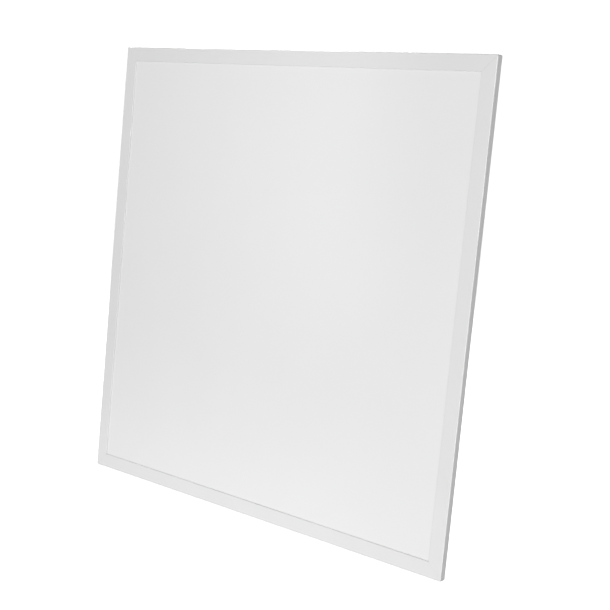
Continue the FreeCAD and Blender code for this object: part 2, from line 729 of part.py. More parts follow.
def earth_stud():
    """Shouldered stud on the tray, with its washer and hexagon nut."""
    x, z = EARTH_AT
    shoulder_y = SHEET + 2
    washer_y = shoulder_y + 0.8
    nut_height = 3.2
    nut_r = 4.0
    stud = fuse([disc(x, z, 3.4, (SHEET, shoulder_y)), disc(x, z, 2.0, (shoulder_y, 12.0))])
    clearance = disc(x, z, 2.1, (shoulder_y - 1, 14.0))
    washer = disc(x, z, 4.5, (shoulder_y, washer_y)).cut(clearance)
    turns = [math.radians(60 * i) for i in range(6)]
    hexagon = [(x + nut_r * math.cos(t), z + nut_r * math.sin(t), 0) for t in turns]
    nut = prism(hexagon, on_y(washer_y), OUT * nut_height).cut(clearance)
    return Part.makeCompound([stud, washer, nut])


def rating_label():
    """Blank label on the lid."""
    return plate(38.0, 20.0, 2.0, (LID_OUTER_Y, LID_OUTER_Y + 0.12), x=-62.0, z=-4.0)


# ---------------------------------------------------------------- driver
def driver_case_base():
    """Lower shell of the driver, low at both ends, with fixing lugs and board posts."""
    middle = sum(DRIVER_X) / 2
    half_x = (DRIVER_X[1] - DRIVER_X[0]) / 2
    outer = plate(half_x, DRIVER_HALF_Z, 2.0, (SHEET, DRIVER_SPLIT_Y), x=middle)
    well_y = (SHEET + DRIVER_WALL, DRIVER_SPLIT_Y + 1)
    well = plate(half_x - DRIVER_WALL, DRIVER_HALF_Z - DRIVER_WALL, 0.5, well_y, x=middle)
    across = (-DRIVER_HALF_Z - 1, DRIVER_HALF_Z + 1)
    above_end = (DRIVER_END_Y, DRIVER_SPLIT_Y + 1)
    low_left = box((DRIVER_X[0] - 1, DRIVER_COVER_X[0]), above_end, across)
    low_right = box((DRIVER_COVER_X[1], DRIVER_X[1] + 1), above_end, across)
    parts = [outer.cut([well, low_left, low_right])]
    lug_x = (DRIVER_SCREW_AT[0] - 6, DRIVER_SCREW_AT[0] + 6)
    lug_y = (SHEET, SHEET + LUG_THICK)
    for s in (-1, 1):
        parts.append(box(lug_x, lug_y, span(s, DRIVER_HALF_Z - 0.5, DRIVER_SCREW_AT[1] + 5)))
        parts += [disc(x, s * 21.0, 2.5, (SHEET, PCB_Y[0])) for x in (DRIVER_X[0] + 10, DRIVER_X[1] - 10)]
    return fuse(parts).cut([disc(x, z, CLEAR_R, (0, 5)) for x, z in driver_screw_spots()])


def driver_case_cover():
    """Upper shell of the driver, with shallow grooves across its roof."""
    middle = sum(DRIVER_COVER_X) / 2
    half_x = (DRIVER_COVER_X[1] - DRIVER_COVER_X[0]) / 2
    outer = plate(half_x, DRIVER_HALF_Z, 2.0, (DRIVER_SPLIT_Y, DRIVER_TOP_Y), x=middle)
    outer = outer.makeFillet(1.2, top_edges(outer, DRIVER_TOP_Y))
    well_y = (DRIVER_SPLIT_Y - 1, DRIVER_TOP_Y - DRIVER_WALL)
    tools = [plate(half_x - DRIVER_WALL, DRIVER_HALF_Z - DRIVER_WALL, 1.0, well_y, x=middle)]
    groove_y = (DRIVER_TOP_Y - 0.6, DRIVER_TOP_Y + 1)
    tools += [centred(middle + 8.0 * i, 0, 2.0, 34.0, groove_y) for i in range(-4, 5)]
    return outer.cut(tools)


def driver_pcb():
    return box((DRIVER_X[0] + PCB_INSET, DRIVER_X[1] - PCB_INSET), PCB_Y, (-25.0, 25.0))


def driver_transformer():
    """Ferrite core round a wound bobbin."""
    x, z = 10.0, 2.0
    low = PCB_Y[1]
    core = centred(x, z, 26.0, 22.0, (low + 2, low + 16)).cut(centred(x, z, 17.0, 30.0, (low + 5, low + 13)))
    feet = [centred(x + s * 9, z, 3.0, 26.0, (low, low + 2)) for s in (-1, 1)]
    bobbin = centred(x, z, 16.6, 27.0, (low + 5.2, low + 12.8))
    return Part.makeCompound([fuse([core] + feet), bobbin])


def driver_capacitors():
    """One large capacitor lying down and three smaller ones standing."""
    low = PCB_Y[1]
    lying = rod((-30.0, -6.0), low + 7.2, -12.0, 7.0)
    standing = [disc(x, z, 4.0, (low, low + 15)) for x, z in ((-24.0, 12.0), (48.0, -14.0), (60.0, -14.0))]
    return Part.makeCompound([lying] + standing)


def driver_inductor():
    """Toroidal output choke standing on its base."""
    x, z = 52.0, 8.0
    low = PCB_Y[1]
    ring = Part.makeTorus(6.0, 3.0, V(x, low + 9.2, z), RIGHT)
    base = centred(x, z, 8.0, 12.0, (low, low + 1))
    saddle = centred(x, z, 5.0, 5.0, (low + 0.5, low + 2))
    return fuse([ring, base, saddle])


def driver_heatsinks():
    """Two folded heat spreaders, each with its power transistor."""
    z = 10.0
    low = PCB_Y[1]
    made = []
    for x in (30.0, 74.0):
        wall = centred(x, z, 1.5, 24.0, (low, low + 17))
        foot = centred(x + 2.5, z, 6.0, 24.0, (low, low + 1.5))
        made += [fuse([wall, foot]), centred(x - 3.0, z, 4.5, 10.0, (low + 2, low + 14))]
    return Part.makeCompound(made)


def driver_screws():
    head_y = SHEET + LUG_THICK
    return Part.makeCompound([pan_screw(x, z, head_y, 5.0) for x, z in driver_screw_spots()])


def mains_terminal():
    """Three-pole push-in terminal: square wire entries at the left, a button well above each."""
    left = DRIVER_X[0] + PCB_INSET
    across = (BUTTON_Z[0] - POLE_PITCH / 2, BUTTON_Z[-1] + POLE_PITCH / 2)
    body = box((left, -35.0), (PCB_Y[1], TERMINAL_TOP), across)
    entry_y = (PCB_Y[1] + 1.8, PCB_Y[1] + 4.6)
    well_y = (TERMINAL_TOP - 5.5, TERMINAL_TOP + 1)
    tools = []
    for z in BUTTON_Z:
        tools.append(box((left - 1, left + 6), entry_y, (z - 1.4, z + 1.4)))
        tools.append(centred(BUTTON_X, z, 4.6, 4.4, well_y))
    return body.cut(tools)


def terminal_button(z):
    """Release button of one pole, with a screwdriver slot, standing proud of the terminal."""
    top = TERMINAL_TOP + BUTTON_STAND
    body = centred(BUTTON_X, z, 4.0, 3.8, (top - BUTTON_LENGTH, top))
    return body.cut(centred(BUTTON_X, z, 2.6, 0.6, (top - 0.5, top + 1)))


def output_terminal():
    """Two-pole terminal for the panel's leads, entered from below."""
    top = PCB_Y[1] + 8.0
    low_z = LEAD_START_Z - 3.0
    body = box((LEAD_X[0] - 3.0, LEAD_X[1] + 2.0), (PCB_Y[1], top), (low_z, 6.0))
    entries = [Part.makeCylinder(WIRE_R + 0.2, 4.0, V(x, LEAD_Y, low_z - 1), V(0, 0, 1)) for x in LEAD_X]
    wells = [centred(x, 1.0, 2.4, 4.0, (top - 1.5, top + 1)) for x in LEAD_X]
    return body.cut(entries + wells)


def colour_switch_body():
    """Slide switch beside the mains terminal, for the three white tones."""
    x, z = SWITCH_AT
    body = centred(x, z, 12.0, 6.0, (PCB_Y[1], SWITCH_TOP))
    return body.cut(centred(x, z, *SWITCH_SLOT, (SWITCH_TOP - 1.6, SWITCH_TOP + 1)))


def colour_switch_slider():
    x, z = SWITCH_AT
    base = centred(x, z, 3.0, 2.2, (SWITCH_TOP - 1.4, SWITCH_TOP - 0.4))
    knob = centred(x, z, 2.2, 2.0, (SWITCH_TOP - 0.8, SWITCH_TOP + 2.4))
    return fuse([base, knob])


# ---------------------------------------------------------------- everything
def all_parts():
    made = {}
    made.update(make_rails())
    made.update(make_corner_keys())
    made.update(make_optics())
    made.update(make_light_strips())
    made["edge_spacers"] = edge_spacers()
    made.update(make_leads())
    made["back_cover"] = back_cover()
    made["cover_screws"] = cover_screws()
    made["corner_screws"] = corner_screws()
    made["clinch_nuts"] = clinch_nuts()
    made.update(make_hangers())
    made["gear_tray"] = gear_tray()
    made["gear_end_plate_left"] = gear_end_plate(-1)
    made["gear_end_plate_right"] = gear_end_plate(1)
    made["gear_lid"] = gear_lid()
    made["lid_hinge_pin"] = rod((-PIN_HALF, PIN_HALF), HINGE_Y, HINGE_Z, PIN_R)
    made["gear_rivets"] = gear_rivets()
    made["mains_bush"] = mains_bush()
    made["wire_grommet"] = wire_grommet()
    made["earth_stud"] = earth_stud()
    made["rating_label"] = rating_label()
    made["driver_case_base"] = driver_case_base()
    made["driver_case_cover"] = driver_case_cover()
    made["driver_pcb"] = driver_pcb()
    made["driver_transformer"] = driver_transformer()
    made["driver_capacitors"] = driver_capacitors()
    made["driver_inductor"] = driver_inductor()
    made["driver_heatsinks"] = driver_heatsinks()
    made["driver_screws"] = driver_screws()
    made["mains_terminal"] = mains_terminal()
    for pole, z in zip(("live", "neutral", "earth"), BUTTON_Z):
        made[f"terminal_button_{pole}"] = terminal_button(z)
    made["output_terminal"] = output_terminal()
    made["colour_switch_body"] = colour_switch_body()
    made["colour_switch_slider"] = colour_switch_slider()
    return made


def main():
    os.makedirs("parts", exist_ok=True)
    for name, shape in all_parts().items():
        sound = shape.isValid() and all(s.isClosed() and s.Volume > 0 for s in shape.Solids)
        state = "ok" if sound else "INVALID"
        print(f"{name:28s} solids {len(shape.Solids):3d}  volume {shape.Volume:12.1f}  {state}")
        shape.exportStep(f"parts/{name}.step")


main()
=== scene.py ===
import math
import random

import bmesh
import bpy
from mathutils import Matrix, Quaternion, Vector


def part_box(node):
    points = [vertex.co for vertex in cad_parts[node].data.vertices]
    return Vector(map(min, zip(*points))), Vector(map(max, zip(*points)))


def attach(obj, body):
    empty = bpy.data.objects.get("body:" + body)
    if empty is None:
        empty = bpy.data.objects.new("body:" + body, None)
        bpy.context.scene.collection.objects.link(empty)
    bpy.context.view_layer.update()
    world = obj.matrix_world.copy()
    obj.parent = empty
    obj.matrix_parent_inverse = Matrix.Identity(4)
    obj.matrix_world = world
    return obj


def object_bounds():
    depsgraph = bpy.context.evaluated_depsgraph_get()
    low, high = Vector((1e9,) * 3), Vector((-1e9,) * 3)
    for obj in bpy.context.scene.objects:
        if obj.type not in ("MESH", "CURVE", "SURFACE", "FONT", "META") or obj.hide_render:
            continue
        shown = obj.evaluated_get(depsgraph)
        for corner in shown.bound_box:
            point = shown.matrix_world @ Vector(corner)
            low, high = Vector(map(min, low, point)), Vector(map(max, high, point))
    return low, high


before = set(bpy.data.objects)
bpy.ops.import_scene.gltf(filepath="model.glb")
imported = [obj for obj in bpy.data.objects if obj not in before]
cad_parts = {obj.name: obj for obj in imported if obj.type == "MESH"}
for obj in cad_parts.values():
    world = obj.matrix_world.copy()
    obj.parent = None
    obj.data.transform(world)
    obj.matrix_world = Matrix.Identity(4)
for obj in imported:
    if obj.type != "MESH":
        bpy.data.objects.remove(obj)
cad_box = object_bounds()

MM = 0.001
CENTRE = Vector((0.0, 0.0, 0.0))
FRONT_Y = cad_box[0].y  # front face of the panel
UNDERSIDE_Z = cad_box[0].z

bpy.context.scene.view_settings.view_transform = "Standard"


# ---------------------------------------------------------------- camera
AZIMUTH = 39.08  # degrees to the right of straight ahead
ELEVATION = 6.69  # degrees above level
ROLL = 5.38  # degrees
DISTANCE = 1.5048  # metres from the point aimed at
AIM_X = 0.0613  # point on the front face that lies at the middle of the picture
AIM_Z = -0.0124
LENS = 71.92  # mm
SENSOR = 36.0  # mm


def add_camera():
    around = math.radians(AZIMUTH)
    above = math.radians(ELEVATION)
    flat = math.cos(above)
    back = Vector((math.sin(around) * flat, -math.cos(around) * flat, math.sin(above)))
    data = bpy.data.cameras.new("camera")
    data.lens = LENS
    data.sensor_width = SENSOR
    camera = bpy.data.objects.new("camera", data)
    camera.rotation_mode = "QUATERNION"
    camera.location = Vector((AIM_X, FRONT_Y, AIM_Z)) + back * DISTANCE
    roll = Quaternion(back, math.radians(ROLL))
    camera.rotation_quaternion = roll @ (-back).to_track_quat("-Z", "Y")
    bpy.context.scene.collection.objects.link(camera)
    bpy.context.scene.camera = camera


# ---------------------------------------------------------------- light
# name: place, what it points at, width, height, watts
SOFTBOXES = {
    "key": ((1.00, -2.50, -0.25), CENTRE, 2.6, 2.6, 74.0),
    "high": ((-0.18, -0.32, 0.37), (-0.40, 0.0, 0.355), 0.8, 0.8, 0.31),
    "low": ((-0.14, -0.19, -0.32), (-0.14, 0.0, -0.28), 0.72, 0.12, 0.12),
    "side": ((2.00, -0.45, 0.10), (0.3, 0.0, 0.0), 0.8, 0.8, 2.6),
    "back_key": ((-1.35, 0.95, 1.30), CENTRE, 0.7, 0.7, 39.0),
    "back_fill": ((0.28, 2.60, -0.20), CENTRE, 2.8, 2.8, 25.0),
}
SKY_STRENGTH = 0.12  # what falls on matt surfaces from all round
MIRRORED_STRENGTH = 0.6  # what glossy surfaces reflect
WHITE_STRENGTH = 1.06  # what the camera sees
WHITE = (1, 1, 1, 1)


def add_softboxes():
    for name, (place, target, width, height, watts) in SOFTBOXES.items():
        data = bpy.data.lights.new(name, "AREA")
        data.shape = "RECTANGLE"
        data.size = width
        data.size_y = height
        data.energy = watts
        lamp = bpy.data.objects.new(name, data)
        lamp.location = place
        lamp.rotation_mode = "QUATERNION"
        lamp.rotation_quaternion = (Vector(target) - Vector(place)).to_track_quat("-Z", "Y")
        lamp.visible_camera = False
        bpy.context.scene.collection.objects.link(lamp)


def add_sky():
    """White to the eye, dimmer in reflections, and a weak even light to everything else."""
    world = bpy.data.worlds.new("studio")
    world.use_nodes = True
    tree = world.node_tree
    light = tree.nodes["Background"]
    light.inputs["Color"].default_value = WHITE
    light.inputs["Strength"].default_value = SKY_STRENGTH
    ray = tree.nodes.new("ShaderNodeLightPath")
    mixed = light.outputs[0]
    for kind, strength in (("Is Glossy Ray", MIRRORED_STRENGTH), ("Is Camera Ray", WHITE_STRENGTH)):
        seen = tree.nodes.new("ShaderNodeBackground")
        seen.inputs["Color"].default_value = WHITE
        seen.inputs["Strength"].default_value = strength
        choice = tree.nodes.new("ShaderNodeMixShader")
        tree.links.new(ray.outputs[kind], choice.inputs[0])
        tree.links.new(mixed, choice.inputs[1])
        tree.links.new(seen.outputs[0], choice.inputs[2])
        mixed = choice.outputs[0]
    tree.links.new(mixed, tree.nodes["World Output"].inputs["Surface"])
    bpy.context.scene.world = world


def add_floor():
    """Pale floor that the panel stands on, bright enough to run into the white behind it."""
    radius = 12.0
    sides = 96
    clearance = 0.5 * MM
    paint = grey(0.85)
    glow = 0.9
    shape = bmesh.new()
    bmesh.ops.create_circle(shape, cap_ends=True, radius=radius, segments=sides)
    floor = bpy.data.objects.new("floor", finished(shape, "floor"))
    floor.location.z = UNDERSIDE_Z - clearance
    material = bpy.data.materials.new("floor")
    material.use_nodes = True
    shader = material.node_tree.nodes["Principled BSDF"]
    shader.inputs["Base Color"].default_value = paint
    shader.inputs["Roughness"].default_value = 0.9
    shader.inputs["Emission Color"].default_value = WHITE
    shader.inputs["Emission Strength"].default_value = glow
    floor.data.materials.append(material)
    for ray in ("diffuse", "glossy", "shadow", "transmission"):
        setattr(floor, "visible_" + ray, False)
    bpy.context.scene.collection.objects.link(floor)


# ---------------------------------------------------------------- material tools
NOISE_RANGE = (0.3, 0.7)  # where nearly all of a noise's values lie


def grey(value):
    return (value, value, value, 1.0)


class Recipe:
    """A procedural material round one Principled shader, in the object's own coordinates.
    Sizes are in metres."""

    def __init__(self, name, **fixed):
        self.material = bpy.data.materials.new("finish_" + name)
        self.material.use_nodes = True
        self.tree = self.material.node_tree
        self.shader = self.tree.nodes["Principled BSDF"]
        for socket, value in fixed.items():
            self.shader.inputs[socket.replace("_", " ")].default_value = value
        self.place = self.node("TexCoord").outputs["Object"]
        self.normal = None

    def node(self, kind, **settings):
        made = self.tree.nodes.new("ShaderNode" + kind)
        for name, value in settings.items():
            setattr(made, name, value)
        return made

    def feed(self, socket, value):
        """Links a node's output to a socket, or sets a plain value on it."""
        if isinstance(value, bpy.types.NodeSocket):
            self.tree.links.new(value, socket)
        else:
            socket.default_value = value

    def calc(self, operation, first, second=0.0):
        made = self.node("Math", operation=operation)
        self.feed(made.inputs[0], first)
        self.feed(made.inputs[1], second)
        return made.outputs[0]

    def level(self, value, low, high, to_low=0.0, to_high=1.0):
        """A value from low to high turned into one from to_low to to_high, and held there beyond."""
        made = self.node("MapRange")
        for socket, number in zip(made.inputs, (value, low, high, to_low, to_high)):
            self.feed(socket, number)
        return made.outputs["Result"]

    def even(self, noise, to_low=0.0, to_high=1.0):
        """A noise evened out to run from to_low to to_high."""
        return self.level(noise, *NOISE_RANGE, to_low, to_high)

    def pick(self, mask, at_0, at_1):
        """A number that changes from at_0 to at_1 as a mask goes from 0 to 1."""
        return self.level(mask, 0.0, 1.0, at_0, at_1)

    def blend(self, factor, first, second):
        made = self.node("Mix", data_type="RGBA")
        self.feed(made.inputs[0], factor)
        self.feed(made.inputs[6], first)
        self.feed(made.inputs[7], second)
        return made.outputs[2]

    def stepped(self, step):
        """The place, held still within each cube of a lattice: a pattern gets square corners."""
        made = self.node("VectorMath", operation="SNAP")
        self.feed(made.inputs[0], self.place)
        made.inputs[1].default_value = (step, step, step)
        return made.outputs[0]

    def noise(self, size, detail=2.0, stretch=(1, 1, 1), twist=0.0, at=None):
        mapping = self.node("Mapping")
        self.feed(mapping.inputs["Vector"], at or self.place)
        mapping.inputs["Scale"].default_value = stretch
        made = self.node("TexNoise")
        self.feed(made.inputs["Vector"], mapping.outputs["Vector"])
        made.inputs["Scale"].default_value = 1 / size
        made.inputs["Detail"].default_value = detail
        made.inputs["Distortion"].default_value = twist
        return made.outputs[0]

    def voronoi(self, size, at=None, **settings):
        made = self.node("TexVoronoi", **settings)
        self.feed(made.inputs["Vector"], at or self.place)
        made.inputs["Scale"].default_value = 1 / size
        return made

    def cells(self, size):
        """Distance to the nearest of a scatter of points, as a share of size."""
        return self.voronoi(size).outputs["Distance"]

    def patches(self, size):
        """A number of its own for each patch of a broken pattern."""
        apart = self.node("SeparateColor")
        self.feed(apart.inputs[0], self.voronoi(size).outputs["Color"])
        return apart.outputs[0]

    def split(self, vector, axis):
        made = self.node("SeparateXYZ")
        self.feed(made.inputs[0], vector)
        return made.outputs[axis]

    def along(self, axis):
        return self.split(self.place, axis)

    def facing(self, axis):
        return self.split(self.node("NewGeometry").outputs["Normal"], axis)

    def to_nearest(self, axis, first, pitch):
        """Distance along an axis to the nearest of a row of evenly spaced places."""
        return self.calc("PINGPONG", self.calc("SUBTRACT", self.along(axis), first), pitch / 2)

    def band(self, axis, middle, half):
        """1 within half of middle along an axis, 0 beyond."""
        soft = 0.02 * MM
        off = self.calc("ABSOLUTE", self.calc("SUBTRACT", self.along(axis), middle))
        return self.level(off, half - soft, half + soft, 1.0, 0.0)

    def within(self, box, margin):
        """1 inside a box as seen from behind, grown by a margin, 0 outside."""
        low, high = box
        in_x = self.band("X", (low.x + high.x) / 2, (high.x - low.x) / 2 + margin)
        in_z = self.band("Z", (low.z + high.z) / 2, (high.z - low.z) / 2 + margin)
        return self.calc("MULTIPLY", in_x, in_z)

    def outline(self, box, margin, line):
        """1 on a printed line round such a box."""
        outer = self.within(box, margin + line / 2)
        return self.calc("SUBTRACT", outer, self.within(box, margin - line / 2))

    def crevice_shade(self, reach):
        """1 in corners and narrow gaps, 0 in the open: the mask for shade painted into those places."""
        made = self.node("AmbientOcclusion", samples=8)
        made.inputs["Distance"].default_value = reach
        return self.level(made.outputs["AO"], 0.95, 0.45)

    def rounded(self, radius):
        """The surface's direction, as if its edges had this radius."""
        made = self.node("Bevel", samples=4)
        made.inputs["Radius"].default_value = radius
        return made.outputs[0]

    def soft_edges(self, radius):
        self.normal = self.rounded(radius)
        return self

    def worn(self, radius):
        """1 on sharp edges, 0 on flat faces."""
        dot = self.node("VectorMath", operation="DOT_PRODUCT")
        self.feed(dot.inputs[0], self.rounded(radius))
        self.feed(dot.inputs[1], self.node("NewGeometry").outputs["Normal"])
        return self.level(dot.outputs["Value"], 0.97, 0.80)

    def bump(self, height, depth):
        made = self.node("Bump")
        made.inputs["Distance"].default_value = depth
        self.feed(made.inputs["Height"], height)
        if self.normal is not None:
            self.feed(made.inputs["Normal"], self.normal)
        self.normal = made.outputs[0]

    def shade_over(self, amount, strength, colour, over):
        """A colour laid over another where amount is 1, as strongly as strength says."""
        return self.blend(self.calc("MULTIPLY", amount, strength), colour, over)

    def finish(self, colour, roughness):
        self.feed(self.shader.inputs["Base Color"], colour)
        self.feed(self.shader.inputs["Roughness"], roughness)
        if self.normal is not None:
            self.feed(self.shader.inputs["Normal"], self.normal)
        return self.material


# ---------------------------------------------------------------- materials
def powder_coat(name, shade, rough):
    """Sprayed coat: orange peel, slightly cloudy gloss, pin specks, faint rub marks and painted shade
    in corners and gaps.
    """
    r = Recipe(name, IOR=1.48, Coat_Weight=0.6, Coat_Roughness=0.13).soft_edges(0.12 * MM)
    cloud = r.even(r.noise(70 * MM, 3.0))
    speck = r.level(r.cells(5 * MM), 0.03, 0.05, 1.0, 0.0)
    rubbed = r.level(r.noise(1.6 * MM, 3.0, (0.03, 1, 1), 0.4), 0.64, 0.74)
    colour = r.blend(cloud, grey(shade * 0.99), grey(shade * 1.005))
    colour = r.shade_over(speck, 0.35, colour, grey(shade * 0.6))
    # painted shade: the coat's colour darkened in corners and narrow gaps, where shade falls
    colour = r.shade_over(r.crevice_shade(1.5 * MM), 0.4, colour, grey(shade * 0.45))
    gloss = r.even(r.noise(25 * MM, 4.0), rough, rough + 0.08)
    r.bump(r.noise(1.1 * MM, 1.0), 0.018 * MM)
    r.bump(r.noise(0.25 * MM, 2.0), 0.004 * MM)
    return r.finish(colour, r.calc("ADD", gloss, r.calc("MULTIPLY", rubbed, 0.06)))


def coated_steel(name, shade):
    """Coated sheet of the back: as the rim, with handling scuffs, long faint scratches and painted
    shade in corners and gaps.
    """
    r = Recipe(name, IOR=1.48).soft_edges(0.3 * MM)
    cloud = r.even(r.noise(110 * MM, 4.0, twist=0.6))
    warm = (shade * 1.01, shade * 1.01, shade, 1)
    colour = r.blend(cloud, grey(shade * 0.975), warm)
    handled = r.level(r.noise(45 * MM, 3.0), 0.56, 0.68)
    streaks = r.level(r.noise(0.7 * MM, 3.0, (0.05, 1, 1), 0.8), 0.55, 0.7)
    scuffs = r.calc("MULTIPLY", handled, streaks)
    scratches = r.level(r.noise(0.9 * MM, 1.0, (1, 1, 0.012), 0.2), 0.73, 0.77)
    marks = r.calc("MAXIMUM", r.calc("MULTIPLY", scuffs, 0.5), r.calc("MULTIPLY", scratches, 0.35))
    colour = r.shade_over(marks, 0.5, colour, grey(shade * 0.72))
    colour = r.shade_over(r.worn(0.5 * MM), 0.25, colour, grey(shade * 0.7))
    # painted shade: the sheet's colour darkened in corners and narrow gaps, where shade falls
    colour = r.shade_over(r.crevice_shade(3.0 * MM), 0.6, colour, grey(shade * 0.45))
    gloss = r.even(r.noise(30 * MM, 4.0), 0.34, 0.46)
    r.bump(r.noise(1.3 * MM, 1.0), 0.03 * MM)
    r.bump(r.noise(0.3 * MM, 2.0), 0.006 * MM)
    r.bump(marks, -0.01 * MM)
    return r.finish(colour, r.calc("ADD", gloss, r.calc("MULTIPLY", marks, 0.15)))


def opal(name):
    """Opal acrylic with a fine matt front, very soft clouding and painted shade in corners and gaps,
    such as along the rim's lip.
    """
    r = Recipe(name, IOR=1.49, Specular_IOR_Level=0.45).soft_edges(0.2 * MM)
    cloud = r.even(r.noise(90 * MM, 2.0))
    grain = r.noise(0.35 * MM, 3.0)
    colour = r.blend(cloud, grey(0.846), grey(0.854))
    # painted shade: the opal darkened in corners and narrow gaps, where shade falls
    colour = r.shade_over(r.crevice_shade(2.0 * MM), 0.5, colour, grey(0.45))
    r.bump(grain, 0.012 * MM)
    return r.finish(colour, r.even(grain, 0.46, 0.56))


def dotted_acrylic(name):
    """Clear sheet with a raster of small white dots that lead the light out."""
    pitch = 1.5 * MM
    clear = (0.93, 0.97, 0.96, 1)
    r = Recipe(name, IOR=1.49)
    flat = r.node("CombineXYZ")
    r.feed(flat.inputs[0], r.along("X"))
    r.feed(flat.inputs[1], r.along("Z"))
    raster = r.voronoi(pitch, flat.outputs[0], voronoi_dimensions="2D")
    raster.inputs["Randomness"].default_value = 0.0
    dots = r.level(raster.outputs["Distance"], 0.24, 0.28, 1.0, 0.0)
    r.feed(r.shader.inputs["Transmission Weight"], r.pick(dots, 0.92, 0.1))
    return r.finish(r.blend(dots, clear, grey(0.9)), r.pick(dots, 0.06, 0.6))


def film(name):
    """Micro-foamed white reflector film, with a faint pearl and slack waves."""
    r = Recipe(name, Sheen_Weight=0.1)
    pearl = r.noise(0.15 * MM, 3.0)
    r.bump(r.noise(60 * MM, 2.0), 0.15 * MM)
    return r.finish(r.blend(pearl, grey(0.88), grey(0.93)), r.even(pearl, 0.3, 0.45))


def foam(name):
    """Open-celled packing foam."""
    r = Recipe(name)
    cell = r.cells(0.9 * MM)
    r.bump(cell, -0.3 * MM)
    colour = r.blend(r.level(cell, 0.1, 0.7), grey(0.50), grey(0.74))
    return r.finish(colour, r.level(cell, 0.0, 0.8, 0.95, 0.8))


def tape(name):
    """Heat-conducting tape with a woven carrier that shows through."""
    pitch = 0.45 * MM
    gap = (0.52, 0.55, 0.58, 1)
    thread = (0.66, 0.68, 0.70, 1)
    r = Recipe(name)
    threads = [r.level(r.to_nearest(axis, 0.0, pitch), 0.0, pitch / 2) for axis in "YZ"]
    weave = r.calc("MAXIMUM", *threads)
    r.bump(weave, 0.03 * MM)
    return r.finish(r.blend(weave, gap, thread), r.pick(weave, 0.6, 0.45))


def circuit_board(name, mask, copper, printed_round=()):
    """Solder mask over copper areas, which show raised and lighter, and printed lines round parts."""
    solder = (0.62, 0.60, 0.55, 1)
    print_gap = 0.5 * MM
    print_line = 0.2 * MM
    r = Recipe(name, Coat_Weight=0.3, Coat_Roughness=0.2)
    tracks = r.level(r.noise(5.5 * MM, 2.0, at=r.stepped(0.6 * MM)), 0.50, 0.505)
    fine = r.level(r.noise(2.6 * MM, 1.0, (1, 1, 0.25), at=r.stepped(0.35 * MM)), 0.56, 0.565)
    gaps = r.calc("SUBTRACT", 1.0, r.calc("MAXIMUM", tracks, fine))
    weave = r.noise(0.5 * MM, 1.0)
    via = r.level(r.cells(3.1 * MM), 0.10, 0.13, 1.0, 0.0)
    colour = r.blend(gaps, copper, mask)
    colour = r.blend(via, colour, solder)
    for part in printed_round:
        colour = r.blend(r.outline(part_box(part), print_gap, print_line), colour, grey(0.75))
    r.bump(r.calc("SUBTRACT", r.calc("MULTIPLY", weave, 0.1), gaps), 0.035 * MM)
    return r.finish(colour, r.even(weave, 0.3, 0.42))


def led_package(name):
    """White cup with its yellow phosphor window facing the light guide."""
    packages = 54  # on a board
    length = 2.8 * MM  # of a package
    rim = 0.4 * MM
    cup = ((0.84, 0.83, 0.79, 1), (0.9, 0.89, 0.86, 1))
    phosphor = ((0.80, 0.52, 0.06, 1), (0.88, 0.66, 0.14, 1))
    low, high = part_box("led_chips_left")
    pitch = (high.z - low.z - length) / (packages - 1)
    half_window = length / 2 - rim
    r = Recipe(name)
    off = r.to_nearest("Z", low.z + length / 2, pitch)
    in_z = r.level(off, half_window, half_window + 0.05 * MM, 1.0, 0.0)
    in_y = r.band("Y", (low.y + high.y) / 2, (high.y - low.y) / 2 - rim)
    window = r.calc("MULTIPLY", in_z, in_y)
    grain = r.noise(0.1 * MM, 2.0)
    r.bump(r.calc("SUBTRACT", grain, window), 0.05 * MM)
    colour = r.blend(window, r.blend(grain, *cup), r.blend(grain, *phosphor))
    return r.finish(colour, r.pick(window, 0.5, 0.22))


def wire_skin(name, dark, light):
    """Extruded PVC round a stranded core."""
    r = Recipe(name).soft_edges(0.05 * MM)
    grain = r.noise(0.3 * MM, 3.0)
    r.bump(grain, 0.012 * MM)
    colour = r.blend(r.even(r.noise(6 * MM, 2.0)), dark, light)
    return r.finish(colour, r.even(grain, 0.34, 0.5))


def plated_steel(name):
    """Zinc-coated steel: patches of spangle, cloudy passivation, fine grain, brighter worn edges and
    painted shade in corners and gaps.
    """
    spangles = ((0.39, 0.40, 0.42, 1), (0.50, 0.51, 0.53, 1))
    passivated = (0.58, 0.56, 0.51, 1)
    bare = (0.80, 0.80, 0.81, 1)
    r = Recipe(name, Metallic=1.0).soft_edges(0.12 * MM)
    spangle = r.patches(3.2 * MM)
    cloud = r.level(r.noise(6 * MM, 4.0, twist=0.5), 0.35, 0.65)
    colour = r.blend(spangle, *spangles)
    colour = r.shade_over(cloud, 0.4, colour, passivated)
    colour = r.shade_over(r.worn(0.2 * MM), 0.5, colour, bare)
    # painted shade: the metal's colour darkened in corners and narrow gaps, where shade falls
    colour = r.shade_over(r.crevice_shade(1.5 * MM), 0.7, colour, grey(0.2))
    gloss = r.pick(spangle, 0.38, 0.32)
    r.bump(r.noise(0.18 * MM, 3.0), 0.006 * MM)
    return r.finish(colour, r.calc("ADD", gloss, r.calc("MULTIPLY", r.noise(1.2 * MM, 4.0), 0.12)))


def drawn_wire(name):
    """Bright spring wire with fine drawing lines and a few rub marks."""
    bright = (0.74, 0.72, 0.68, 1)
    dull = (0.60, 0.58, 0.54, 1)
    r = Recipe(name, Metallic=1.0)
    lines = r.noise(0.12 * MM, 2.0, (1, 1, 0.05))
    rubbed = r.level(r.noise(2.5 * MM, 3.0), 0.5, 0.7)
    r.bump(lines, 0.006 * MM)
    return r.finish(r.blend(rubbed, bright, dull), r.even(lines, 0.18, 0.34))


